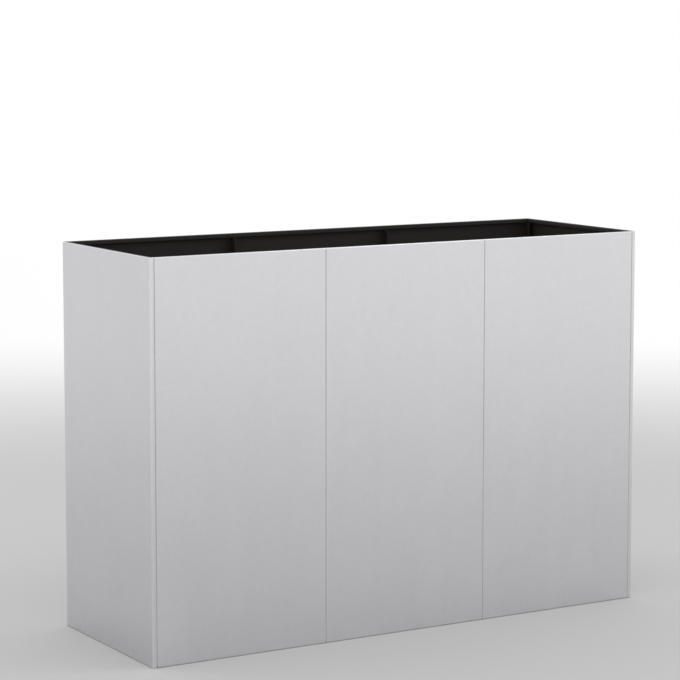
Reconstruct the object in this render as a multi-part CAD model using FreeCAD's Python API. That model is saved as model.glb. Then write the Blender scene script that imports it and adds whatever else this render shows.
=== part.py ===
import FreeCAD, Part
import math
import os

from FreeCAD import Vector

# Galvanised steel planter, in millimetres.
# +X runs to the right along the front, +Y towards the back, +Z up.
# The origin is the middle of the footprint, on the ground.
# Six like wall panels and two side panels are folded from sheet and bolted at eight upright seams.
# Each side panel wraps round two corners, so its front strip shows as a narrow border beside the wall panels.

# Names of the wall panels and of the seams, from left to right
columns = ("left", "middle", "right")
seams = ("corner_left", "seam_left", "seam_right", "corner_right")

# Overall sizes
panel_width = 380.0
corner_return = 10.0
depth = 400.0
height = 800.0

# Sheet and its folds
sheet = 1.0
bend_inside = 1.0
corner_inside = 3.0
rim_setback = 0.5
rim_lip = 8.0
base_flange = 20.0
seam_flange = 22.0
flange_relief = 1.5
joint_gap = 0.25

# Bolted seams, with square punched holes
bolt_setback = 12.0
floor_bolt_height = 14.0
upper_bolt_drop = 180.0
hole_width = 6.6
thread_radius = 3.0
thread_clearance = 0.1
least_thread_end = 0.5
bolt_length_step = 2.0
hexagon_sides = 6
head_across_flats = 10.0
head_height = 4.0
nut_across_flats = 10.0
nut_height = 5.0
bore_sides = 12

# Floor trays
floor_height = 26.0
tray_clearance = 1.5
drain_holes = 2
drain_radius = 10.0

# Cross ties between the front and the rear wall
tie_sheet = 1.5
tie_height = 32.0
tie_ledge = 12.0
tie_end_gap = 3.0

overrun = 2.0

# Sizes that follow
panels_in_row = len(columns)
half_length = panels_in_row * panel_width / 2 + corner_return
half_depth = depth / 2
bend_outside = bend_inside + sheet
corner_outside = corner_inside + sheet
rim_width = corner_return - rim_setback
seam_places = [(column - panels_in_row / 2) * panel_width for column in range(panels_in_row + 1)]
upper_bolt_height = height - upper_bolt_drop
bolt_heights = (floor_bolt_height, upper_bolt_height)
bolt_y = half_depth - bolt_setback
flange_bottom = sheet + flange_relief
flange_top = height - rim_lip - flange_relief


# Section planes: each takes two numbers to a point in space

def plan(u, v):
    return Vector(u, v, 0)


def side_view(u, v):
    return Vector(0, u, v)


def front_view(u, v):
    return Vector(u, 0, v)


def bent_line(points, radii):
    """Straight runs through flat points, with an arc of its own radius at each inner point."""
    pieces = []
    start = points[0]
    for before, corner, after, radius in zip(points, points[1:], points[2:], radii):
        arriving = (corner - before).normalize()
        leaving = (after - corner).normalize()
        run = radius * math.tan(arriving.getAngle(leaving) / 2)
        first = corner - arriving * run
        last = corner + leaving * run
        inwards = (leaving - arriving).normalize()
        rise = math.hypot(radius, run) - radius
        pieces.append((start, first))
        pieces.append((first, corner + inwards * rise, last))
        start = last
    pieces.append((start, points[-1]))
    return pieces


def folded_section(points, thickness, inside_radii, plane):
    """Face of a folded sheet. The points are its outer corners, and every fold turns towards the sheet."""
    flat = [Vector(u, v, 0) for u, v in points]
    turn = (flat[1] - flat[0]).cross(flat[2] - flat[1]).z
    across = Vector(0, 0, math.copysign(1, turn))
    normals = [across.cross((b - a).normalize()) for a, b in zip(flat, flat[1:])]
    inner = [flat[0] + normals[0] * thickness]
    for corner, before, after in zip(flat[1:], normals, normals[1:]):
        inner.append(corner + (before + after) * (thickness / (1 + before.dot(after))))
    inner.append(flat[-1] + normals[-1] * thickness)

    outer_line = bent_line(flat, [radius + thickness for radius in inside_radii])
    inner_line = [tuple(reversed(piece)) for piece in reversed(bent_line(inner, inside_radii))]
    pieces = outer_line + [(flat[-1], inner[-1])] + inner_line + [(inner[0], flat[0])]
    edges = []
    for piece in pieces:
        placed = [plane(point.x, point.y) for point in piece]
        curve = Part.LineSegment(*placed) if len(placed) == 2 else Part.Arc(*placed)
        edges.append(curve.toShape())
    return Part.Face(Part.Wire(edges))


def block(x0, x1, y0, y1, z0, z1):
    return Part.makeBox(x1 - x0, y1 - y0, z1 - z0, Vector(x0, y0, z0))


def rounded_block(half_x, half_y, z0, z1, corner):
    """Block about the Z axis with its four upright edges rounded."""
    solid = block(-half_x, half_x, -half_y, half_y, z0, z1)
    uprights = [edge for edge in solid.Edges if edge.BoundBox.ZLength > (z1 - z0) / 2]
    return solid.makeFillet(corner, uprights)


def bend_top(solid, radius):
    """Rounds every edge that bounds the solid's top face."""
    top = max(solid.Faces, key=lambda face: face.CenterOfMass.z)
    return solid.makeFillet(radius, top.Edges)


def joined(first, others):
    """One clean solid from pieces of the same sheet."""
    return first.fuse(others).removeSplitter()


def rim_ring():
    """Folded rim all round the planter, hanging from z = 0, with its inner edge turned down as a lip."""
    half_x = half_length - rim_width
    half_y = half_depth - rim_width
    ring = rounded_block(half_length, half_depth, -rim_lip, 0, corner_outside)
    ring = ring.cut(block(-half_x, half_x, -half_y, half_y, -rim_lip - overrun, overrun))
    deep = rim_lip + overrun
    hollow = rounded_block(half_length - sheet, half_depth - sheet, -deep, -sheet, corner_inside)
    lip_x = half_x + sheet
    lip_y = half_y + sheet
    hollow = hollow.cut(block(-lip_x, lip_x, -lip_y, lip_y, -deep - overrun, 0))
    ring = bend_top(ring, bend_outside).cut(bend_top(hollow, bend_inside))
    # The outer wall below the bend belongs to the panels, which round off at their seams.
    inner_x = half_length - rim_width / 2
    inner_y = half_depth - rim_width / 2
    reach_x = half_length + overrun
    reach_y = half_depth + overrun
    below = block(-reach_x, reach_x, -reach_y, reach_y, -deep, -bend_outside)
    core = block(-inner_x, inner_x, -inner_y, inner_y, -deep, -bend_outside)
    return ring.cut(below.cut(core))


def seam_holes(seam_x, heights, wall=sheet):
    """Square cutters for the bolts of one seam, front and rear, through sheets this far to each side."""
    reach = wall + overrun
    half = hole_width / 2
    cutters = []
    for z in heights:
        for y in (-bolt_y, bolt_y):
            cutters.append(block(seam_x - reach, seam_x + reach, y - half, y + half, z - half, z + half))
    return cutters


def wall_panel():
    """Front panel about x = 0: a face with a flange at each seam, a folded rim and a base flange."""
    half_width = panel_width / 2
    face_y = -half_depth
    flange_y = face_y + seam_flange
    outline = [
        (-half_width, flange_y),
        (-half_width, face_y),
        (half_width, face_y),
        (half_width, flange_y),
    ]
    face = folded_section(outline, sheet, [bend_inside] * 2, plan)
    upright_height = height - 2 * bend_outside
    upright = face.extrude(Vector(0, 0, upright_height)).translated(Vector(0, 0, bend_outside))
    clear_y = face_y + bend_outside
    reach = half_width + overrun
    above = block(-reach, reach, clear_y, flange_y + overrun, flange_top, height)
    under = block(-reach, reach, clear_y, flange_y + overrun, 0, flange_bottom)
    upright = upright.cut([above, under])

    rim_y = face_y + rim_width
    rim_outline = [
        (face_y, height - bend_outside - sheet),
        (face_y, height),
        (rim_y, height),
        (rim_y, height - rim_lip),
    ]
    base_outline = [
        (face_y, bend_outside + sheet),
        (face_y, 0),
        (face_y + base_flange, 0),
    ]
    edge_length = panel_width - 2 * joint_gap
    edges = []
    for edge_outline in (rim_outline, base_outline):
        folds = [bend_inside] * (len(edge_outline) - 2)
        section = folded_section(edge_outline, sheet, folds, side_view)
        strip = section.extrude(Vector(edge_length, 0, 0))
        edges.append(strip.translated(Vector(-edge_length / 2, 0, 0)))
    panel = joined(upright, edges)
    return panel.cut(seam_holes(-half_width, bolt_heights) + seam_holes(half_width, bolt_heights))


def side_panel():
    """Left side: one sheet wrapped round both corners, with its seam flanges, rim and base flange."""
    outer_x = -half_length
    seam_x = outer_x + corner_return
    outline = [
        (seam_x, -half_depth + seam_flange),
        (seam_x, -half_depth),
        (outer_x, -half_depth),
        (outer_x, half_depth),
        (seam_x, half_depth),
        (seam_x, half_depth - seam_flange),
    ]
    folds = [bend_inside, corner_inside, corner_inside, bend_inside]
    upright = folded_section(outline, sheet, folds, plan).extrude(Vector(0, 0, height - bend_outside))
    clear_x = outer_x + corner_outside
    clear_y = half_depth - bend_outside
    above = block(clear_x, seam_x + overrun, -clear_y, clear_y, flange_top, height)
    under = block(clear_x, seam_x + overrun, -clear_y, clear_y, -overrun, flange_bottom)
    base_y = half_depth - corner_outside
    heel = block(outer_x - overrun, clear_x, -base_y, base_y, -overrun, bend_outside)
    upright = upright.cut([above, under, heel])

    base_outline = [
        (outer_x, bend_outside + sheet),
        (outer_x, 0),
        (outer_x + rim_width, 0),
    ]
    base = folded_section(base_outline, sheet, [bend_inside], front_view)
    base = base.extrude(Vector(0, 2 * base_y, 0)).translated(Vector(0, -base_y, 0))
    edge_x = seam_x - joint_gap
    end = block(outer_x - overrun, edge_x, -half_depth, half_depth, -rim_lip, 0)
    rim = rim_ring().common(end).translated(Vector(0, 0, height))
    return joined(upright, [rim, base]).cut(seam_holes(seam_x, bolt_heights))


def floor_tray():
    """Upturned tray about x = 0 that stands on the base flanges, with round drain holes."""
    half_x = panel_width / 2 - sheet
    half_y = half_depth - sheet - tray_clearance
    across = [(-half_x, sheet), (-half_x, floor_height), (half_x, floor_height), (half_x, sheet)]
    along = [(-half_y, sheet), (-half_y, floor_height), (half_y, floor_height), (half_y, sheet)]
    flat_x = half_x - bend_outside
    flat_y = half_y - bend_outside
    folds = [bend_inside] * 2
    tray = folded_section(across, sheet, folds, front_view).extrude(Vector(0, 2 * flat_y, 0))
    ends = folded_section(along, sheet, folds, side_view).extrude(Vector(2 * flat_x, 0, 0))
    tray = joined(tray.translated(Vector(0, -flat_y, 0)), [ends.translated(Vector(-flat_x, 0, 0))])

    cutters = []
    drain_step = 2 * half_x / drain_holes
    for hole in range(drain_holes):
        below = Vector((hole + 0.5) * drain_step - half_x, 0, floor_height - sheet - overrun)
        cutters.append(Part.makeCylinder(drain_radius, sheet + 2 * overrun, below))
    for side in (-1, 1):
        cutters += seam_holes(side * panel_width / 2, bolt_heights[:1])
    return tray.cut(cutters)


def cross_tie():
    """Folded channel from the front to the rear wall, with its web against the left inner seam's flanges."""
    web_x = seam_places[1] + sheet
    ledge_x = web_x + tie_ledge
    low = upper_bolt_height - tie_height / 2
    high = upper_bolt_height + tie_height / 2
    outline = [(ledge_x, high), (web_x, high), (web_x, low), (ledge_x, low)]
    reach_y = half_depth - sheet - tie_end_gap
    section = folded_section(outline, tie_sheet, [bend_inside] * 2, front_view)
    tie = section.extrude(Vector(0, 2 * reach_y, 0)).translated(Vector(0, -reach_y, 0))
    return tie.cut(seam_holes(web_x, bolt_heights[1:], tie_sheet))


def many_sided_bar(sides, across_flats, length):
    """Bar of a regular outline, along +X from x = 0."""
    radius = across_flats / 2 / math.cos(math.pi / sides)
    corners = []
    for step in range(sides):
        angle = 2 * math.pi * step / sides
        corners.append(Vector(0, radius * math.cos(angle), radius * math.sin(angle)))
    return Part.Face(Part.makePolygon(corners + corners[:1])).extrude(Vector(length, 0, 0))


def bolt(head_face, nut_face):
    """Hexagon bolt along X, head on the +X side, in the next standard length. Faces are measured from the seam."""
    least_length = head_face + nut_face + nut_height + least_thread_end
    length = bolt_length_step * math.ceil(least_length / bolt_length_step)
    head = many_sided_bar(hexagon_sides, head_across_flats, head_height).translated(Vector(head_face, 0, 0))
    shank = Part.makeCylinder(thread_radius, length, Vector(head_face - length, 0, 0), Vector(1, 0, 0))
    return joined(head, [shank])


def nut(nut_face):
    """Hexagon nut on the -X side of a seam, with its hidden bore in a few flats."""
    outer_face = nut_face + nut_height
    body = many_sided_bar(hexagon_sides, nut_across_flats, nut_height).translated(Vector(-outer_face, 0, 0))
    bore = many_sided_bar(bore_sides, 2 * (thread_radius + thread_clearance), nut_height + 2 * overrun)
    return body.cut(bore.translated(Vector(-outer_face - overrun, 0, 0)))


def seam_fasteners(seam, side):
    """Bolts and nuts of one seam on the front (-1) or rear (1), heads towards the planter's middle."""
    seam_x = seam_places[seam]
    inner_seam = 0 < seam < panels_in_row
    bolts = []
    nuts = []
    for z in bolt_heights:
        head_face = sheet
        nut_face = sheet
        if z == floor_bolt_height:
            head_face += sheet
            nut_face += sheet if inner_seam else 0
        elif inner_seam:
            head_face += tie_sheet
        pair = [bolt(head_face, nut_face), nut(nut_face)]
        if seam_x > 0:
            pair = [piece.mirror(Vector(0, 0, 0), Vector(1, 0, 0)) for piece in pair]
        place = Vector(seam_x, side * bolt_y, z)
        bolts.append(pair[0].translated(place))
        nuts.append(pair[1].translated(place))
    return Part.makeCompound(bolts), Part.makeCompound(nuts)


def turned(shape):
    """The same piece turned half round the planter's upright axis."""
    copy = shape.copy()
    copy.rotate(Vector(0, 0, 0), Vector(0, 0, 1), 180)
    return copy


def save(name, shape):
    shape.exportStep("parts/" + name + ".step")


def main():
    os.makedirs("parts", exist_ok=True)
    panel = wall_panel()
    tray = floor_tray()
    for index, column in enumerate(columns):
        shift = Vector((index - (panels_in_row - 1) / 2) * panel_width, 0, 0)
        save("front_panel_" + column, panel.translated(shift))
        save("rear_panel_" + column, turned(panel).translated(shift))
        save("floor_tray_" + column, tray.translated(shift))
    end = side_panel()
    save("side_panel_left", end)
    save("side_panel_right", turned(end))
    tie = cross_tie()
    save("cross_tie_left", tie)
    save("cross_tie_right", turned(tie))
    for seam, seam_name in enumerate(seams):
        for side, side_name in ((-1, "front_"), (1, "rear_")):
            bolts, nuts = seam_fasteners(seam, side)
            save(side_name + seam_name + "_bolts", bolts)
            save(side_name + seam_name + "_nuts", nuts)


main()
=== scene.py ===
import math

import bmesh
import bpy
from bpy.props import FloatProperty, FloatVectorProperty, IntProperty, PointerProperty
from mathutils import Euler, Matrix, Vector


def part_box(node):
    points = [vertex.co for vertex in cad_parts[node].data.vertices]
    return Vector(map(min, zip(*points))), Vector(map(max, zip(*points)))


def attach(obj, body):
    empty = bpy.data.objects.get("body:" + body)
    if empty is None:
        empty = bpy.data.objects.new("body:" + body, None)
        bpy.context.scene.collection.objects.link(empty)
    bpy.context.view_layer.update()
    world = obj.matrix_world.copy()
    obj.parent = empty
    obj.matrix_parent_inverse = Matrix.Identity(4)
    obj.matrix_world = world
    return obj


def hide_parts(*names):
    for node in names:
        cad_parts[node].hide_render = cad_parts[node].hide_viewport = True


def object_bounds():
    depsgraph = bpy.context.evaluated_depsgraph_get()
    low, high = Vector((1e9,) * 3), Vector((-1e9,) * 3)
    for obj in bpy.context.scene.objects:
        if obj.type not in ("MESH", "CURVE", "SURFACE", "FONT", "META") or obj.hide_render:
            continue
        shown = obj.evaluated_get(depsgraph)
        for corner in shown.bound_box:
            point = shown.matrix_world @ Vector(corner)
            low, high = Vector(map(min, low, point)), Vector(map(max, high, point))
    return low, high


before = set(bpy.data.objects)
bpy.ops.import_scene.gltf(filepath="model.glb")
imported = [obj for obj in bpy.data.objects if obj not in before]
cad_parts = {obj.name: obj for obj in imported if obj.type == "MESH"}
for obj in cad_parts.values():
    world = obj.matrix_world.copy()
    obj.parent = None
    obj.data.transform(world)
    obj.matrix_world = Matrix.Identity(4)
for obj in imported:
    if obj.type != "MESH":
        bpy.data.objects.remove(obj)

bl_info = {
    "name": "Galvanised planter",
    "version": (1, 0, 0),
    "blender": (4, 5, 0),
    "location": "3D View > Sidebar > Planter",
    "description": "Finishes the sheets and fasteners of a tall planter of galvanised panels",
    "category": "Object",
}

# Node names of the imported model, by kind of piece
WALLS = sorted(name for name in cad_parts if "_panel_" in name)
TRAYS = sorted(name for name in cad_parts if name.startswith("floor_tray"))
TIES = sorted(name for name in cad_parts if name.startswith("cross_tie"))
BOLTS = sorted(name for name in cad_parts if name.endswith("_bolts"))
NUTS = sorted(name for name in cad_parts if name.endswith("_nuts"))

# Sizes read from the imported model, in metres
CAD_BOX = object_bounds()
HALF_DEPTH = CAD_BOX[1].y
HEIGHT = CAD_BOX[1].z
SIDE_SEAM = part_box("side_panel_right")[0].x
MIDDLE_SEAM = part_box("front_panel_middle")[1].x
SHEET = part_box("floor_tray_middle")[0].z

# Points nearer to each other than this are made one
MERGE = 1e-6

# Faces of a sheet that meet at less than this angle are one flat face
FLAT_ANGLE = math.radians(1)

# An edge of a sheet that turns by more than this is shaded as an edge
SHARP_ANGLE = math.radians(40)

# An edge of a sheet that turns by more than this is a cut edge, and is broken
CUT_ANGLE = math.radians(60)

# How much large faces count in the shading, where 50 counts all faces alike
LARGE_FACE_WEIGHT = 100

# Cosine of the angle beyond which a face isn't square to any axis, but part of a fold
SQUARE = math.cos(math.radians(3))

# Distance from a seam's plane within which a face may lie in the seam
SEAM_REACH = 3 * SHEET

# Outside of a wall: its depth behind the front's or rear's plane, and the least that its faces point out
WALL_REACH = 4 * SHEET
FACING_OUT = 0.05

# Heads and nuts: the flat circle on a face, as a share of the width across flats, and its chamfer
CHAMFER_SHARE = 0.95
CHAMFER_SLOPE = math.tan(math.radians(30))
FASTENER_SHARP_ANGLE = math.radians(24)

# Depth of a nut's countersink, as a share of its bore's radius
SINK_SHARE = 0.12

# Rows of faces in a turn of thread
ROWS_A_TURN = 6.0

# Points farther from a solid's axis than this share of its width across flats are its hexagon's
HEXAGON_SHARE = 0.45

# Bolts whose lengths agree to this many decimals of a metre are alike
LENGTH_DIGITS = 4

# How fine the textures are, in waves a metre, or in waves along X, Y and Z where that differs
ZINC_GRAIN = (900, 900, 14)
ZINC_RUNS = (26, 26, 1.3)
ZINC_MOTTLE = 7.0
ZINC_WAVES = 4.5
SPLASHES = 60.0
# Textures of the dark coat, which is painted shade inside the planter and on its rim
SHADE_COAT_LAPS = (60, 60, 9)
SHADE_COAT_SPECKS = 420.0
SHADE_COAT_PATCHES = 11.0
TURNING_MARKS = (2600, 500, 500)
PLATING_STAINS = 260.0
FLOOR_SPECKS = 900.0

# Crystals: waves in an outline for each crystal's width, and how many times a border's depth goes into it
CRYSTAL_WAVES = 0.7
BORDERS_A_CRYSTAL = 9.0

# Height to which splashes dull the zinc
SPLASH_HEIGHT = 0.09

# How much duller the zinc is on the trays and on the ties
TRAY_DULLING = 0.12
TIE_DULLING = 0.06

# How much each texture or mark moves a finish's brightness, as a share of it, and its roughness
ZINC_BRIGHTNESS = {"grain": 0.05, "runs": 0.04, "mottle": 0.05, "border": -0.012, "splash": -0.08}
ZINC_ROUGHNESS = {
    "crystals": 0.025, "grain": 0.03, "runs": 0.03, "mottle": 0.05,
    "splash": 0.12, "seam": 0.2, "fold": -0.02}
SHADE_COAT_BRIGHTNESS = {"laps": 0.5, "specks": 0.5, "patches": 0.4}
SHADE_COAT_ROUGHNESS = {"laps": 0.2, "patches": 0.2}
PLATING_BRIGHTNESS = {"turning": 0.08, "stains": 0.18}
PLATING_ROUGHNESS = {"turning": 0.04, "stains": 0.12}

# Strength of the gloss of the dark coat of painted shade, where 0.5 is a plain lacquer's
SHADE_COAT_SPECULAR = 0.35

# Bumps: depth in metres, and strength
ZINC_WAVE_BUMP = (0.0016, 0.25)
ZINC_GRAIN_BUMP = (0.00001, 0.2)
SHADE_COAT_LAP_BUMP = (0.0004, 0.4)
SHADE_COAT_SPECK_BUMP = (0.0001, 0.5)
TURNING_BUMP = (0.00002, 0.3)
STAIN_BUMP = (0.00003, 0.3)

# Floor: a wide disc with this many sides, and a gap that keeps it clear of the planter's base
FLOOR_RADIUS = 40.0
FLOOR_SIDES = 96
FLOOR_GAP = 0.0004
FLOOR_ROUGHNESS = 0.9

# Direction of the surroundings' soft shade, clockwise from straight back, and the cosine at its edge
SHADE_YAW = math.radians(-50)
SHADE_EDGE = 0.3


# Properties that a user would change

class PlanterSheetSettings(bpy.types.PropertyGroup):
    """Finish of the galvanised sheets."""
    zinc: FloatVectorProperty(
        name="Zinc", description="Colour of the zinc coat", subtype="COLOR",
        default=(0.712, 0.71, 0.732), min=0, max=1)
    roughness: FloatProperty(
        name="Roughness", description="Roughness of the satin zinc coat",
        default=0.32, min=0, max=1, subtype="FACTOR")
    spangle: FloatProperty(
        name="Spangle size", description="Width of one zinc crystal",
        default=0.009, min=0.001, max=0.1, unit="LENGTH")
    spangle_contrast: FloatProperty(
        name="Spangle contrast", description="How much the crystals differ in brightness",
        default=0.02, min=0, max=1, subtype="FACTOR")
    edge_softness: FloatProperty(
        name="Cut edge softness", description="Width of the broken edge along a cut sheet",
        default=0.00012, min=0, max=0.0005, unit="LENGTH")
    wear: FloatProperty(
        name="Fold wear", description="How much brighter the zinc is where it is folded",
        default=0.03, min=0, max=1, subtype="FACTOR")
    # Grime and painted shade: the zinc is made darker deep in a seam
    seam_grime_and_shade: FloatProperty(
        name="Seam grime", description="How much darker the zinc is deep in a seam",
        default=0.07, min=0, max=1, subtype="FACTOR")


class PlanterShadeCoatSettings(bpy.types.PropertyGroup):
    """Dark coat on the inside of the walls and on top of the rim: painted shade for the shaded inside of
    the planter.
    """
    # Colour of the painted shade inside the planter and on its rim
    colour: FloatVectorProperty(
        name="Coat", description="Colour of the coat inside", subtype="COLOR",
        default=(0.0175, 0.0148, 0.0135), min=0, max=1)
    roughness: FloatProperty(
        name="Roughness", description="Roughness of the coat inside",
        default=0.62, min=0, max=1, subtype="FACTOR")


class PlanterFastenerSettings(bpy.types.PropertyGroup):
    """Bolts and nuts of the seams."""
    plating: FloatVectorProperty(
        name="Plating", description="Colour of the plated steel", subtype="COLOR",
        default=(0.62, 0.64, 0.68), min=0, max=1)
    roughness: FloatProperty(
        name="Roughness", description="Roughness of the plated steel",
        default=0.36, min=0, max=1, subtype="FACTOR")
    thread_pitch: FloatProperty(
        name="Thread pitch", description="Distance from one turn of the thread to the next",
        default=0.001, min=0.0003, max=0.003, unit="LENGTH")
    thread_depth: FloatProperty(
        name="Thread depth", description="Depth of the thread's groove",
        default=0.0006, min=0, max=0.001, unit="LENGTH")
    steps_round: IntProperty(
        name="Steps round", description="Edges round a head, a nut and a thread, in sixes",
        default=36, min=12, max=96, step=6)


class PlanterStudioSettings(bpy.types.PropertyGroup):
    """Camera, floor, lamps and surroundings."""
    camera_place: FloatVectorProperty(
        name="Camera", description="Place of the camera", subtype="TRANSLATION", unit="LENGTH",
        default=(-2.6457, -4.3703, 1.2487))
    camera_turn: FloatProperty(
        name="Turn", description="How far the camera looks to the right of straight back",
        default=math.radians(30.817), unit="ROTATION")
    camera_tilt: FloatProperty(
        name="Tilt", description="How far the camera looks down",
        default=math.radians(6.333), unit="ROTATION")
    lens: FloatProperty(
        name="Lens", description="Focal length", default=129.79, min=10, max=400, unit="CAMERA")
    lift: FloatProperty(
        name="Lens shift", description="Upward shift of the lens, as a share of the frame", default=-0.07)
    floor_tone: FloatProperty(
        name="Floor", description="Brightness of the floor round the planter",
        default=0.575, min=0, max=1, subtype="FACTOR")
    floor_grain: FloatProperty(
        name="Floor grain", description="How much the floor's brightness varies from spot to spot",
        default=0.01, min=0, max=1, subtype="FACTOR")
    floor_near: FloatProperty(
        name="Floor near", description="Distance at which the floor starts to turn white",
        default=1.6, min=0.1, max=20, unit="LENGTH")
    floor_far: FloatProperty(
        name="Floor far", description="Distance from which the floor is white like the sky",
        default=4.8, min=0.1, max=20, unit="LENGTH")
    sky: FloatProperty(
        name="Sky", description="Brightness of the studio's white surroundings", default=1.0, min=0, max=2)
    sky_shade: FloatProperty(
        name="Sky shade", description="How much darker the surroundings are low on the left behind",
        default=0.16, min=0, max=1)
    lamp_place: FloatVectorProperty(
        name="Lamp", description="Place of the soft lamp, in front on the right", subtype="TRANSLATION",
        unit="LENGTH", default=(1.5, -1.2, 2.9))
    lamp_size: FloatProperty(
        name="Lamp size", description="Width of the soft lamp", default=0.8, min=0.1, unit="LENGTH")
    lamp_power: FloatProperty(
        name="Lamp power", description="Power of the soft lamp", default=6.5, min=0, unit="POWER")
    fill_place: FloatVectorProperty(
        name="Fill lamp", description="Place of the lamp over the floor on the left behind",
        subtype="TRANSLATION", unit="LENGTH", default=(-2.4, 1.8, 3.0))
    fill_size: FloatProperty(
        name="Fill lamp size", description="Width of the fill lamp", default=2.0, min=0.1, unit="LENGTH")
    fill_power: FloatProperty(
        name="Fill lamp power", description="Power of the fill lamp", default=10.0, min=0, unit="POWER")


# Shader and node helpers

def add_node(tree, kind, inputs=None, **settings):
    """Adds a node with its settings. An input is a socket to link or a value to set."""
    made = tree.nodes.new(kind)
    for key, value in settings.items():
        setattr(made, key, value)
    for key, value in (inputs or {}).items():
        if isinstance(value, bpy.types.NodeSocket):
            tree.links.new(value, made.inputs[key])
        else:
            made.inputs[key].default_value = value
    return made


def maths(tree, operation, *terms, clamp=False):
    """One step of arithmetic on sockets or numbers."""
    made = add_node(tree, "ShaderNodeMath", dict(enumerate(terms)), operation=operation, use_clamp=clamp)
    return made.outputs[0]


def total(tree, *terms):
    """Sum of several sockets or numbers."""
    result = terms[0]
    for term in terms[1:]:
        result = maths(tree, "ADD", result, term)
    return result


def product(tree, *terms):
    """Product of several sockets or numbers."""
    result = terms[0]
    for term in terms[1:]:
        result = maths(tree, "MULTIPLY", result, term)
    return result


def blend(tree, share, first, second):
    """The first value where the share is 0, the second where it is 1."""
    made = add_node(tree, "ShaderNodeMix", {0: share, 2: first, 3: second})
    return made.outputs[0]


def smooth(tree, value, start, end):
    """Rises softly from 0 at start to 1 at end, which may lie either way round."""
    made = add_node(
        tree, "ShaderNodeMapRange", {"Value": value, "From Min": start, "From Max": end},
        interpolation_type="SMOOTHSTEP")
    return made.outputs[0]


def new_material(name):
    """An empty node material with its surface shader."""
    made = bpy.data.materials.new(name)
    made.use_nodes = True
    tree = made.node_tree
    tree.nodes.clear()
    shader = add_node(tree, "ShaderNodeBsdfPrincipled")
    add_node(tree, "ShaderNodeOutputMaterial", {"Surface": shader.outputs["BSDF"]})
    return made, tree, shader


def object_place(tree, scale=(1, 1, 1), turn=0.0):
    """Object coordinates, turned about Z and stretched by a scale for each axis."""
    coords = add_node(tree, "ShaderNodeTexCoord")
    mapping = add_node(
        tree, "ShaderNodeMapping",
        {"Vector": coords.outputs["Object"], "Scale": scale, "Rotation": (0, 0, turn)})
    return mapping.outputs["Vector"]


def noise(tree, scale, detail=2.0, stretch=(1, 1, 1), rough=0.5):
    """Soft noise about 0.5, in object space."""
    made = add_node(
        tree, "ShaderNodeTexNoise",
        {"Vector": object_place(tree, stretch), "Scale": scale, "Detail": detail, "Roughness": rough})
    return made.outputs["Fac"]


def swing(tree, source, amount):
    """A texture about 0.5 turned into a swing of this amount about zero."""
    return product(tree, maths(tree, "SUBTRACT", source, 0.5), amount)


def tinted(tree, colour, factor):
    """A colour times a factor."""
    made = add_node(tree, "ShaderNodeVectorMath", {0: tuple(colour), 1: factor}, operation="MULTIPLY")
    return made.outputs[0]


def bumps(tree, steps):
    """Chain of bumps from (height, distance in metres, strength) to one normal."""
    normal = None
    for height, distance, strength in steps:
        inputs = {"Height": height, "Distance": distance, "Strength": strength}
        if normal is not None:
            inputs["Normal"] = normal
        normal = add_node(tree, "ShaderNodeBump", inputs).outputs["Normal"]
    return normal


# Materials

def spangle_cells(tree, size):
    """Irregular crystals: two random values of each cell, and the distance to its border."""
    place = object_place(tree)
    wander = add_node(
        tree, "ShaderNodeTexNoise", {"Vector": place, "Scale": CRYSTAL_WAVES / size, "Detail": 3.0})
    moved = add_node(
        tree, "ShaderNodeVectorMath",
        {0: wander.outputs["Color"], 1: (size, size, size), 2: place}, operation="MULTIPLY_ADD")
    inputs = {"Vector": moved.outputs[0], "Scale": 1 / size}
    cells = add_node(tree, "ShaderNodeTexVoronoi", inputs)
    border = add_node(tree, "ShaderNodeTexVoronoi", inputs, feature="DISTANCE_TO_EDGE")
    split = add_node(tree, "ShaderNodeSeparateColor", {"Color": cells.outputs["Color"]})
    return split.outputs[0], split.outputs[1], border.outputs["Distance"]


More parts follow.
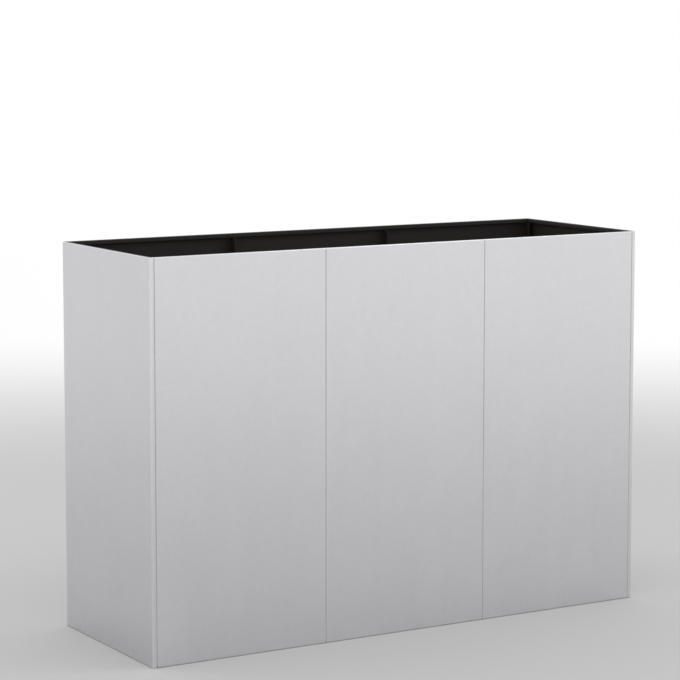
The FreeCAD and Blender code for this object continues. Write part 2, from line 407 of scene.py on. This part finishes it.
def zinc_material(name, settings, dulling=0.0):
    """Satin hot-dip zinc: crystals, rolling grain, run marks, mottling, bright folds, and seams darkened
    by grime and painted shade.
    """
    made, tree, shader = new_material(name)
    first, second, border = spangle_cells(tree, settings.spangle)
    grain = noise(tree, 1.0, detail=3.0, stretch=ZINC_GRAIN)
    runs = noise(tree, 1.0, detail=3.0, stretch=ZINC_RUNS)
    mottle = noise(tree, ZINC_MOTTLE, detail=5.0, rough=0.6)
    groove = maths(tree, "SUBTRACT", 1.0, maths(tree, "MULTIPLY", border, BORDERS_A_CRYSTAL, clamp=True))
    fold = add_node(tree, "ShaderNodeAttribute", attribute_name="fold_wear").outputs["Fac"]
    seam = add_node(tree, "ShaderNodeAttribute", attribute_name="seam_depth").outputs["Fac"]
    height = add_node(tree, "ShaderNodeSeparateXYZ", {0: object_place(tree)}).outputs["Z"]
    low = smooth(tree, height, SPLASH_HEIGHT, 0.0)
    splash = product(tree, low, noise(tree, SPLASHES, detail=5.0, rough=0.7))

    bright = total(
        tree,
        1.0 - dulling,
        swing(tree, first, settings.spangle_contrast),
        swing(tree, grain, ZINC_BRIGHTNESS["grain"]),
        swing(tree, runs, ZINC_BRIGHTNESS["runs"]),
        swing(tree, mottle, ZINC_BRIGHTNESS["mottle"]),
        product(tree, groove, ZINC_BRIGHTNESS["border"]),
        product(tree, splash, ZINC_BRIGHTNESS["splash"]),
        # Grime and painted shade deep in the seams, darker the deeper a face lies
        product(tree, seam, -settings.seam_grime_and_shade),
        product(tree, fold, settings.wear))
    rough = total(
        tree,
        settings.roughness + dulling / 2,
        swing(tree, second, ZINC_ROUGHNESS["crystals"]),
        swing(tree, grain, ZINC_ROUGHNESS["grain"]),
        swing(tree, mottle, ZINC_ROUGHNESS["mottle"]),
        swing(tree, runs, ZINC_ROUGHNESS["runs"]),
        product(tree, splash, ZINC_ROUGHNESS["splash"]),
        product(tree, seam, ZINC_ROUGHNESS["seam"]),
        product(tree, fold, ZINC_ROUGHNESS["fold"]))
    waves = noise(tree, ZINC_WAVES, detail=1.0)
    normal = bumps(tree, [(waves, *ZINC_WAVE_BUMP), (grain, *ZINC_GRAIN_BUMP)])
    tree.links.new(tinted(tree, settings.zinc, bright), shader.inputs["Base Color"])
    tree.links.new(rough, shader.inputs["Roughness"])
    tree.links.new(normal, shader.inputs["Normal"])
    shader.inputs["Metallic"].default_value = 1.0
    return made


def shade_coat_material(name, settings):
    """Brushed-on dark coat with faint lap marks and specks: painted shade for the shaded inside of the
    planter.
    """
    made, tree, shader = new_material(name)
    laps = noise(tree, 1.0, detail=4.0, stretch=SHADE_COAT_LAPS)
    specks = noise(tree, SHADE_COAT_SPECKS, detail=3.0, rough=0.7)
    patches = noise(tree, SHADE_COAT_PATCHES, detail=3.0)
    bright = total(
        tree,
        1.0,
        swing(tree, laps, SHADE_COAT_BRIGHTNESS["laps"]),
        swing(tree, specks, SHADE_COAT_BRIGHTNESS["specks"]),
        swing(tree, patches, SHADE_COAT_BRIGHTNESS["patches"]))
    rough = total(
        tree,
        settings.roughness,
        swing(tree, laps, SHADE_COAT_ROUGHNESS["laps"]),
        swing(tree, patches, SHADE_COAT_ROUGHNESS["patches"]))
    normal = bumps(tree, [(laps, *SHADE_COAT_LAP_BUMP), (specks, *SHADE_COAT_SPECK_BUMP)])
    tree.links.new(tinted(tree, settings.colour, bright), shader.inputs["Base Color"])
    tree.links.new(rough, shader.inputs["Roughness"])
    tree.links.new(normal, shader.inputs["Normal"])
    shader.inputs["Specular IOR Level"].default_value = SHADE_COAT_SPECULAR
    return made


def plated_material(name, settings):
    """Bright plated steel of the fasteners, with turning marks and stains."""
    made, tree, shader = new_material(name)
    turned = noise(tree, 1.0, detail=2.0, stretch=TURNING_MARKS)
    stains = noise(tree, PLATING_STAINS, detail=4.0, rough=0.6)
    bright = total(
        tree,
        1.0,
        swing(tree, turned, PLATING_BRIGHTNESS["turning"]),
        swing(tree, stains, PLATING_BRIGHTNESS["stains"]))
    rough = total(
        tree,
        settings.roughness,
        swing(tree, stains, PLATING_ROUGHNESS["stains"]),
        swing(tree, turned, PLATING_ROUGHNESS["turning"]))
    normal = bumps(tree, [(turned, *TURNING_BUMP), (stains, *STAIN_BUMP)])
    tree.links.new(tinted(tree, settings.plating, bright), shader.inputs["Base Color"])
    tree.links.new(rough, shader.inputs["Roughness"])
    tree.links.new(normal, shader.inputs["Normal"])
    shader.inputs["Metallic"].default_value = 1.0
    return made


# Folded sheets

def sheet_copy(node, name, softness):
    """A clean copy of a folded sheet: merged, flat faces joined, cut edges broken, folds shaded round."""
    work = bmesh.new()
    work.from_mesh(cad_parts[node].data)
    bmesh.ops.remove_doubles(work, verts=work.verts, dist=MERGE)
    bmesh.ops.dissolve_limit(work, angle_limit=FLAT_ANGLE, verts=work.verts, edges=work.edges)
    made = bpy.data.meshes.new(name)
    work.to_mesh(made)
    work.free()
    for polygon in made.polygons:
        polygon.use_smooth = True
    made.set_sharp_from_angle(angle=SHARP_ANGLE)
    piece = bpy.data.objects.new(name, made)
    bpy.context.scene.collection.objects.link(piece)
    bevel = piece.modifiers.new("Cut edges", "BEVEL")
    bevel.width = softness
    bevel.segments = 1
    bevel.limit_method = "ANGLE"
    bevel.angle_limit = CUT_ANGLE
    weights = piece.modifiers.new("Flat faces stay flat", "WEIGHTED_NORMAL")
    weights.keep_sharp = True
    weights.weight = LARGE_FACE_WEIGHT
    return settle(piece)


def settle(piece):
    """Turns what a piece's modifiers make into its plain mesh."""
    graph = bpy.context.evaluated_depsgraph_get()
    made = bpy.data.meshes.new_from_object(piece.evaluated_get(graph), depsgraph=graph)
    old = piece.data
    piece.modifiers.clear()
    piece.data = made
    bpy.data.meshes.remove(old)
    made.name = piece.name
    return piece


def mark_folds(mesh):
    """Marks folds and broken edges: how deep a face lies in a seam, for grime and painted shade, or else 1
    for wear.
    """
    wear = mesh.attributes.new("fold_wear", "FLOAT", "FACE")
    seam = mesh.attributes.new("seam_depth", "FLOAT", "FACE")
    for face in mesh.polygons:
        along = abs(face.center.x)
        in_seam = min(abs(along - MIDDLE_SEAM), abs(along - SIDE_SEAM)) < SEAM_REACH
        if in_seam and abs(face.center.y) < HALF_DEPTH:
            seam.data[face.index].value = abs(face.normal.x)
        elif max(map(abs, face.normal)) < SQUARE:
            wear.data[face.index].value = 1.0


def is_shade_coated(face):
    """True for a face on the inside of the walls or on top of the rim, which gets the dark coat of painted
    shade.
    """
    centre = face.center
    outwards_y = face.normal.y * math.copysign(1, centre.y) > FACING_OUT
    outwards_x = face.normal.x * math.copysign(1, centre.x) > FACING_OUT
    on_front_or_rear = outwards_y and abs(centre.y) > HALF_DEPTH - WALL_REACH
    on_side = outwards_x and abs(centre.x) > SIDE_SEAM
    return centre.z > SHEET and not on_front_or_rear and not on_side


def finish_sheets(nodes, zinc, softness, shade_coat=None):
    """Replaces each node by its clean copy in zinc, with the dark coat of painted shade on the inside
    where there is one.
    """
    for node in nodes:
        piece = sheet_copy(node, node + "_sheet", softness)
        mark_folds(piece.data)
        piece.data.materials.clear()
        piece.data.materials.append(zinc)
        if shade_coat:
            piece.data.materials.append(shade_coat)
        # Faces inside and on the rim top get the dark coat of painted shade
        for face in piece.data.polygons:
            face.material_index = 1 if shade_coat and is_shade_coated(face) else 0
        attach(piece, "root")
        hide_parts(node)


# Fasteners

def hexagons(nodes):
    """Place and sizes of each solid of the fastener nodes, read from its points."""
    found = []
    for node in nodes:
        low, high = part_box(node)
        middle = (low.z + high.z) / 2
        points = [vertex.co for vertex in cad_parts[node].data.vertices]
        for solid in ([p for p in points if p.z < middle], [p for p in points if p.z > middle]):
            across = max(p.z for p in solid) - min(p.z for p in solid)
            y = (max(p.y for p in solid) + min(p.y for p in solid)) / 2
            z = (max(p.z for p in solid) + min(p.z for p in solid)) / 2
            limit = HEXAGON_SHARE * across
            wide = [p.x for p in solid if math.hypot(p.y - y, p.z - z) > limit]
            narrow = [p for p in solid if math.hypot(p.y - y, p.z - z) < limit]
            found.append({
                "y": y, "z": z, "across": across, "ends": (min(wide), max(wide)),
                "reach": (min(p.x for p in solid), max(p.x for p in solid)),
                "radius": max(math.hypot(p.y - y, p.z - z) for p in narrow)})
    return found


def wrapped_grid(tree, steps, rows, length):
    """A flat grid to be wrapped round Z: its mesh, the angle of a point, and its way along from zero."""
    grid = add_node(tree, "GeometryNodeMeshGrid", {
        "Size X": math.tau, "Size Y": length,
        "Vertices X": whole(tree, total(tree, steps, 1.0)), "Vertices Y": rows})
    position = add_node(tree, "GeometryNodeInputPosition").outputs[0]
    place = add_node(tree, "ShaderNodeSeparateXYZ", {0: position})
    along = total(tree, place.outputs["Y"], product(tree, length, 0.5))
    return grid.outputs["Mesh"], place.outputs["X"], along


def whole(tree, value):
    """A number rounded to a whole one."""
    return add_node(tree, "FunctionNodeFloatToInt", {0: value}).outputs[0]


def wrapped(tree, mesh, angle, radius, height):
    """Moves a grid's points to an angle, a radius and a height about Z."""
    spot = add_node(tree, "ShaderNodeCombineXYZ", {
        "X": product(tree, radius, maths(tree, "COSINE", angle)),
        "Y": product(tree, radius, maths(tree, "SINE", angle)),
        "Z": height})
    moved = add_node(tree, "GeometryNodeSetPosition", {"Geometry": mesh, "Position": spot.outputs[0]})
    return moved.outputs[0]


def turned_body(tree, steps, profile):
    """One skin round Z through rings of (radius, height), which may be functions of the angle."""
    mesh, angle, along = wrapped_grid(tree, steps, len(profile), float(len(profile) - 1))
    columns = []
    for column in (0, 1):
        ring_number = whole(tree, along)
        switch = add_node(tree, "GeometryNodeIndexSwitch", {"Index": ring_number}, data_type="FLOAT")
        while len(switch.index_switch_items) < len(profile):
            switch.index_switch_items.new()
        for ring, entry in enumerate(profile):
            term = entry[column](angle) if callable(entry[column]) else entry[column]
            if isinstance(term, bpy.types.NodeSocket):
                tree.links.new(term, switch.inputs[ring + 1])
            else:
                switch.inputs[ring + 1].default_value = term
        columns.append(switch.outputs[0])
    return wrapped(tree, mesh, angle, *columns)


def hexagon_outline(tree, half):
    """Radius of a hexagon's outline at an angle, from half its width across flats."""
    sixth = math.pi / 3

    def radius(angle):
        turned = maths(tree, "FLOORED_MODULO", total(tree, angle, sixth / 2), sixth)
        from_flat = maths(tree, "SUBTRACT", turned, sixth / 2)
        return maths(tree, "DIVIDE", half, maths(tree, "COSINE", from_flat))
    return radius


def chamfer_height(tree, half, face, rise):
    """Height where a hexagon's side meets the chamfer of a face. Rise is its slope, with its sign."""
    def height(angle):
        outline = hexagon_outline(tree, half)(angle)
        beyond = maths(tree, "SUBTRACT", outline, product(tree, half, CHAMFER_SHARE))
        return total(tree, face, product(tree, beyond, rise))
    return height


def bolt_body(tree, given):
    """Hexagon bolt along Z in one skin, with its head's underside at zero and its thread below."""
    length = given["Shank length"]
    pitch = given["Thread pitch"]
    core = maths(tree, "SUBTRACT", given["Shank radius"], given["Thread depth"])

    def thread(angle, along):
        turns = total(tree, maths(tree, "DIVIDE", along, pitch), maths(tree, "DIVIDE", angle, math.tau))
        # The wave goes from 0 to a half and back in each turn, so twice its value is a share of the depth.
        groove = product(tree, maths(tree, "PINGPONG", turns, 0.5), 2.0, given["Thread depth"])
        cut = maths(tree, "SUBTRACT", given["Shank radius"], groove)
        return maths(tree, "MINIMUM", cut, total(tree, core, along))

    def neck(angle):
        return thread(angle, length)

    rows = whole(tree, product(tree, maths(tree, "DIVIDE", length, pitch), ROWS_A_TURN))
    mesh, angle, along = wrapped_grid(tree, given["Steps round"], rows, length)
    closed = product(tree, thread(angle, along), maths(tree, "GREATER_THAN", along, MERGE))
    shank = wrapped(tree, mesh, angle, closed, maths(tree, "SUBTRACT", along, length))

    half = product(tree, given["Across flats"], 0.5)
    outline = hexagon_outline(tree, half)
    top = given["Head height"]
    head = turned_body(tree, given["Steps round"], [
        (neck, 0.0),
        (outline, 0.0),
        (outline, chamfer_height(tree, half, top, -CHAMFER_SLOPE)),
        (product(tree, half, CHAMFER_SHARE), top),
        (0.0, top)])
    return [head, shank]


def nut_body(tree, given):
    """Hexagon nut along Z from zero, chamfered on both faces, with a countersunk bore."""
    half = product(tree, given["Across flats"], 0.5)
    outline = hexagon_outline(tree, half)
    flat = product(tree, half, CHAMFER_SHARE)
    bore = given["Bore radius"]
    sink = product(tree, bore, SINK_SHARE)
    mouth = total(tree, bore, sink)
    top = given["Nut height"]
    return [turned_body(tree, given["Steps round"], [
        (bore, sink),
        (mouth, 0.0),
        (flat, 0.0),
        (outline, chamfer_height(tree, half, 0.0, CHAMFER_SLOPE)),
        (outline, chamfer_height(tree, half, top, -CHAMFER_SLOPE)),
        (flat, top),
        (mouth, top),
        (bore, maths(tree, "SUBTRACT", top, sink)),
        (bore, sink)])]


def fastener_tree(name, build, sizes):
    """A node group that puts a body on every point, turned along the point's heading."""
    tree = bpy.data.node_groups.new(name, "GeometryNodeTree")
    tree.interface.new_socket(name="Geometry", in_out="OUTPUT", socket_type="NodeSocketGeometry")
    inputs = [("Geometry", "Geometry"), ("Material", "Material"), ("Steps round", "Int"), *sizes]
    for socket_name, kind in inputs:
        tree.interface.new_socket(name=socket_name, in_out="INPUT", socket_type="NodeSocket" + kind)
    given = add_node(tree, "NodeGroupInput").outputs
    body = add_node(tree, "GeometryNodeJoinGeometry")
    for part in build(tree, given):
        tree.links.new(part, body.inputs[0])
    merged = add_node(
        tree, "GeometryNodeMergeByDistance", {"Geometry": body.outputs[0], "Distance": MERGE})
    heading = add_node(tree, "GeometryNodeInputNamedAttribute", {"Name": "heading"}, data_type="FLOAT")
    turn = add_node(tree, "ShaderNodeCombineXYZ", {"Y": product(tree, heading.outputs[0], math.pi / 2)})
    rotation = add_node(tree, "FunctionNodeEulerToRotation", {0: turn.outputs[0]})
    placed = add_node(tree, "GeometryNodeInstanceOnPoints", {
        "Points": given["Geometry"], "Instance": merged.outputs[0], "Rotation": rotation.outputs[0]})
    real = add_node(tree, "GeometryNodeRealizeInstances", {"Geometry": placed.outputs[0]})
    dressed = add_node(
        tree, "GeometryNodeSetMaterial", {"Geometry": real.outputs[0], "Material": given["Material"]})
    add_node(tree, "NodeGroupOutput", {"Geometry": dressed.outputs[0]})
    return tree


def fastener_mesh(name, places, tree, values):
    """Object of like fasteners at (place, heading), as a plain mesh."""
    points = bpy.data.meshes.new(name)
    points.from_pydata([place for place, heading in places], [], [])
    marks = points.attributes.new("heading", "FLOAT", "POINT")
    marks.data.foreach_set("value", [heading for place, heading in places])
    made = bpy.data.objects.new(name, points)
    bpy.context.scene.collection.objects.link(made)
    modifier = made.modifiers.new("Fasteners", "NODES")
    modifier.node_group = tree
    for socket in tree.interface.items_tree:
        if socket.in_out == "INPUT" and socket.name in values:
            modifier[socket.identifier] = values[socket.name]
    return settle(made)


def fastener_piece(name, groups, nodes):
    """One piece from groups of fasteners, which stands for their nodes."""
    piece = groups[0]
    if len(groups) > 1:
        with bpy.context.temp_override(active_object=piece, selected_editable_objects=groups):
            bpy.ops.object.join()
    piece.name = name
    piece.data.name = name
    piece.data.shade_smooth()
    piece.data.set_sharp_from_angle(angle=FASTENER_SHARP_ANGLE)
    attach(piece, "root")
    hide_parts(*nodes)


# Stage

def surroundings(tree, direction, settings):
    """Brightness of the surroundings in a direction: white, with a soft shade round one side's horizon."""
    towards = (math.sin(SHADE_YAW), math.cos(SHADE_YAW), 0)
    facing = add_node(tree, "ShaderNodeVectorMath", {0: direction, 1: towards}, operation="DOT_PRODUCT")
    shade = smooth(tree, facing.outputs["Value"], SHADE_EDGE, 1.0)
    return blend(tree, shade, settings.sky, settings.sky - settings.sky_shade)


def studio_floor(settings):
    """Plain pale floor. Far off, what is seen of it or mirrored is as bright as the surroundings there."""
    made, tree, shader = new_material("Studio floor")
    tone = total(tree, settings.floor_tone, swing(tree, noise(tree, FLOOR_SPECKS), settings.floor_grain))
    tree.links.new(tinted(tree, (1, 1, 1), tone), shader.inputs["Base Color"])
    shader.inputs["Roughness"].default_value = FLOOR_ROUGHNESS
    shader.inputs["Specular IOR Level"].default_value = 0.0
    place = object_place(tree)
    distance = add_node(tree, "ShaderNodeVectorMath", {0: place}, operation="LENGTH").outputs["Value"]
    direction = add_node(tree, "ShaderNodeVectorMath", {0: place}, operation="NORMALIZE").outputs[0]
    ways = add_node(tree, "ShaderNodeLightPath").outputs
    seen = total(tree, ways["Is Camera Ray"], ways["Is Glossy Ray"], ways["Is Transmission Ray"])
    far = add_node(tree, "ShaderNodeEmission", {
        "Color": (1, 1, 1, 1), "Strength": surroundings(tree, direction, settings)})
    mixed = add_node(tree, "ShaderNodeMixShader", {
        0: product(tree, smooth(tree, distance, settings.floor_near, settings.floor_far), seen),
        1: shader.outputs["BSDF"], 2: far.outputs[0]})
    tree.links.new(mixed.outputs[0], tree.nodes["Material Output"].inputs["Surface"])
    return made


def add_floor(settings):
    """A wide disc just under the planter."""
    work = bmesh.new()
    bmesh.ops.create_circle(work, cap_ends=True, segments=FLOOR_SIDES, radius=FLOOR_RADIUS)
    made = bpy.data.meshes.new("studio_floor")
    bmesh.ops.translate(work, verts=work.verts, vec=(0, 0, -FLOOR_GAP))
    work.to_mesh(made)
    work.free()
    made.materials.append(studio_floor(settings))
    floor = bpy.data.objects.new("studio_floor", made)
    bpy.context.scene.collection.objects.link(floor)


def add_sky(settings):
    """The studio's surroundings, which also light the planter."""
    world = bpy.data.worlds.new("Studio surroundings")
    bpy.context.scene.world = world
    world.use_nodes = True
    tree = world.node_tree
    tree.nodes.clear()
    direction = add_node(tree, "ShaderNodeTexCoord").outputs["Generated"]
    glow = add_node(tree, "ShaderNodeBackground", {
        "Color": (1, 1, 1, 1), "Strength": surroundings(tree, direction, settings)})
    add_node(tree, "ShaderNodeOutputWorld", {"Surface": glow.outputs[0]})


def add_lamp(name, place, target, size, power):
    """A square soft lamp that points at a target."""
    lamp = bpy.data.lights.new(name, "AREA")
    lamp.size = size
    lamp.energy = power
    made = bpy.data.objects.new(name, lamp)
    made.location = place
    made.rotation_euler = (Vector(target) - Vector(place)).to_track_quat("-Z", "Y").to_euler()
    bpy.context.scene.collection.objects.link(made)


def add_camera(settings):
    """The camera, level but for its tilt."""
    camera = bpy.data.cameras.new("photo_camera")
    camera.lens = settings.lens
    camera.shift_y = settings.lift
    made = bpy.data.objects.new("photo_camera", camera)
    made.location = settings.camera_place
    made.rotation_euler = Euler((math.pi / 2 - settings.camera_tilt, 0, -settings.camera_turn))
    bpy.context.scene.collection.objects.link(made)
    bpy.context.scene.camera = made


# Operators

class PLANTER_OT_wall_sheets(bpy.types.Operator):
    """Finishes the front, rear and side panels in zinc, with a dark coat of painted shade inside and on
    the rim
    """
    bl_idname = "planter.wall_sheets"
    bl_label = "Wall sheets"

    def execute(self, context):
        sheets = context.scene.planter_sheets
        # The dark coat inside the planter and on its rim is painted shade
        shade_coat = shade_coat_material("Painted shade coat inside", context.scene.planter_coat)
        finish_sheets(
            WALLS, zinc_material("Galvanised wall", sheets), sheets.edge_softness, shade_coat)
        return {"FINISHED"}


class PLANTER_OT_floor_trays(bpy.types.Operator):
    """Finishes the floor trays in duller zinc"""
    bl_idname = "planter.floor_trays"
    bl_label = "Floor trays"

    def execute(self, context):
        sheets = context.scene.planter_sheets
        material = zinc_material("Galvanised floor", sheets, dulling=TRAY_DULLING)
        finish_sheets(TRAYS, material, sheets.edge_softness)
        return {"FINISHED"}


class PLANTER_OT_cross_ties(bpy.types.Operator):
    """Finishes the cross ties between the front and the rear wall"""
    bl_idname = "planter.cross_ties"
    bl_label = "Cross ties"

    def execute(self, context):
        sheets = context.scene.planter_sheets
        material = zinc_material("Galvanised tie", sheets, dulling=TIE_DULLING)
        finish_sheets(TIES, material, sheets.edge_softness)
        return {"FINISHED"}


class PLANTER_OT_seam_bolts(bpy.types.Operator):
    """Makes the threaded hexagon bolts of all seams"""
    bl_idname = "planter.seam_bolts"
    bl_label = "Seam bolts"

    def execute(self, context):
        settings = context.scene.planter_fasteners
        tree = fastener_tree("Threaded bolt", bolt_body, [
            ("Across flats", "Float"), ("Head height", "Float"), ("Shank radius", "Float"),
            ("Shank length", "Float"), ("Thread pitch", "Float"), ("Thread depth", "Float")])
        values = {
            "Material": plated_material("Plated bolt", settings), "Steps round": settings.steps_round,
            "Thread pitch": settings.thread_pitch, "Thread depth": settings.thread_depth}
        lengths = {}
        for solid in hexagons(BOLTS):
            heading = -math.copysign(1, solid["ends"][0])
            underside = solid["ends"][0] if heading > 0 else solid["ends"][1]
            head_height = solid["ends"][1] - solid["ends"][0]
            length = round(solid["reach"][1] - solid["reach"][0] - head_height, LENGTH_DIGITS)
            lengths.setdefault(length, []).append(((underside, solid["y"], solid["z"]), heading))
            values.update({
                "Across flats": solid["across"], "Head height": head_height,
                "Shank radius": solid["radius"]})
        groups = []
        for length, places in sorted(lengths.items()):
            groups.append(fastener_mesh("bolts", places, tree, {**values, "Shank length": length}))
        fastener_piece("seam_bolts", groups, BOLTS)
        return {"FINISHED"}


class PLANTER_OT_seam_nuts(bpy.types.Operator):
    """Makes the hexagon nuts of all seams"""
    bl_idname = "planter.seam_nuts"
    bl_label = "Seam nuts"

    def execute(self, context):
        settings = context.scene.planter_fasteners
        solids = hexagons(NUTS)
        places = []
        for solid in solids:
            heading = math.copysign(1, solid["ends"][0])
            inner = solid["ends"][0] if heading > 0 else solid["ends"][1]
            places.append(((inner, solid["y"], solid["z"]), heading))
        sample = solids[0]
        tree = fastener_tree("Hexagon nut", nut_body, [
            ("Across flats", "Float"), ("Nut height", "Float"), ("Bore radius", "Float")])
        nuts = fastener_mesh("nuts", places, tree, {
            "Material": plated_material("Plated nut", settings), "Steps round": settings.steps_round,
            "Across flats": sample["across"], "Nut height": sample["ends"][1] - sample["ends"][0],
            "Bore radius": sample["radius"]})
        fastener_piece("seam_nuts", [nuts], NUTS)
        return {"FINISHED"}


class PLANTER_OT_studio(bpy.types.Operator):
    """Sets up the pale floor, the soft light and the camera"""
    bl_idname = "planter.studio"
    bl_label = "Studio"

    def execute(self, context):
        settings = context.scene.planter_studio
        context.scene.view_settings.view_transform = "Standard"
        add_floor(settings)
        add_sky(settings)
        add_lamp("softbox", settings.lamp_place, (0, 0, HEIGHT), settings.lamp_size, settings.lamp_power)
        below = (settings.fill_place[0], settings.fill_place[1], 0)
        add_lamp("fill", settings.fill_place, below, settings.fill_size, settings.fill_power)
        add_camera(settings)
        return {"FINISHED"}


STEPS = (
    PLANTER_OT_wall_sheets,
    PLANTER_OT_floor_trays,
    PLANTER_OT_cross_ties,
    PLANTER_OT_seam_bolts,
    PLANTER_OT_seam_nuts,
    PLANTER_OT_studio,
)

SETTINGS = {
    PlanterSheetSettings: "planter_sheets",
    PlanterShadeCoatSettings: "planter_coat",
    PlanterFastenerSettings: "planter_fasteners",
    PlanterStudioSettings: "planter_studio",
}


class VIEW3D_PT_planter(bpy.types.Panel):
    """Lists the planter's pieces and their settings"""
    bl_idname = "VIEW3D_PT_planter"
    bl_label = "Galvanised planter"
    bl_space_type = "VIEW_3D"
    bl_region_type = "UI"
    bl_category = "Planter"

    def draw(self, context):
        for step in STEPS:
            self.layout.operator(step.bl_idname)
        for group in SETTINGS:
            for name in group.__annotations__:
                self.layout.prop(getattr(context.scene, SETTINGS[group]), name)


def register():
    """Makes the classes and the scene's settings known."""
    for cls in (*SETTINGS, *STEPS, VIEW3D_PT_planter):
        bpy.utils.register_class(cls)
    for group, name in SETTINGS.items():
        setattr(bpy.types.Scene, name, PointerProperty(type=group))


def unregister():
    """Takes away what register made known."""
    for name in SETTINGS.values():
        delattr(bpy.types.Scene, name)
    for cls in (VIEW3D_PT_planter, *reversed(STEPS), *reversed(list(SETTINGS))):
        bpy.utils.unregister_class(cls)


def main():
    """Makes every piece and the stage."""
    register()
    bpy.ops.planter.wall_sheets()
    bpy.ops.planter.floor_trays()
    bpy.ops.planter.cross_ties()
    bpy.ops.planter.seam_bolts()
    bpy.ops.planter.seam_nuts()
    bpy.ops.planter.studio()


if __name__ == "__main__":
    main()
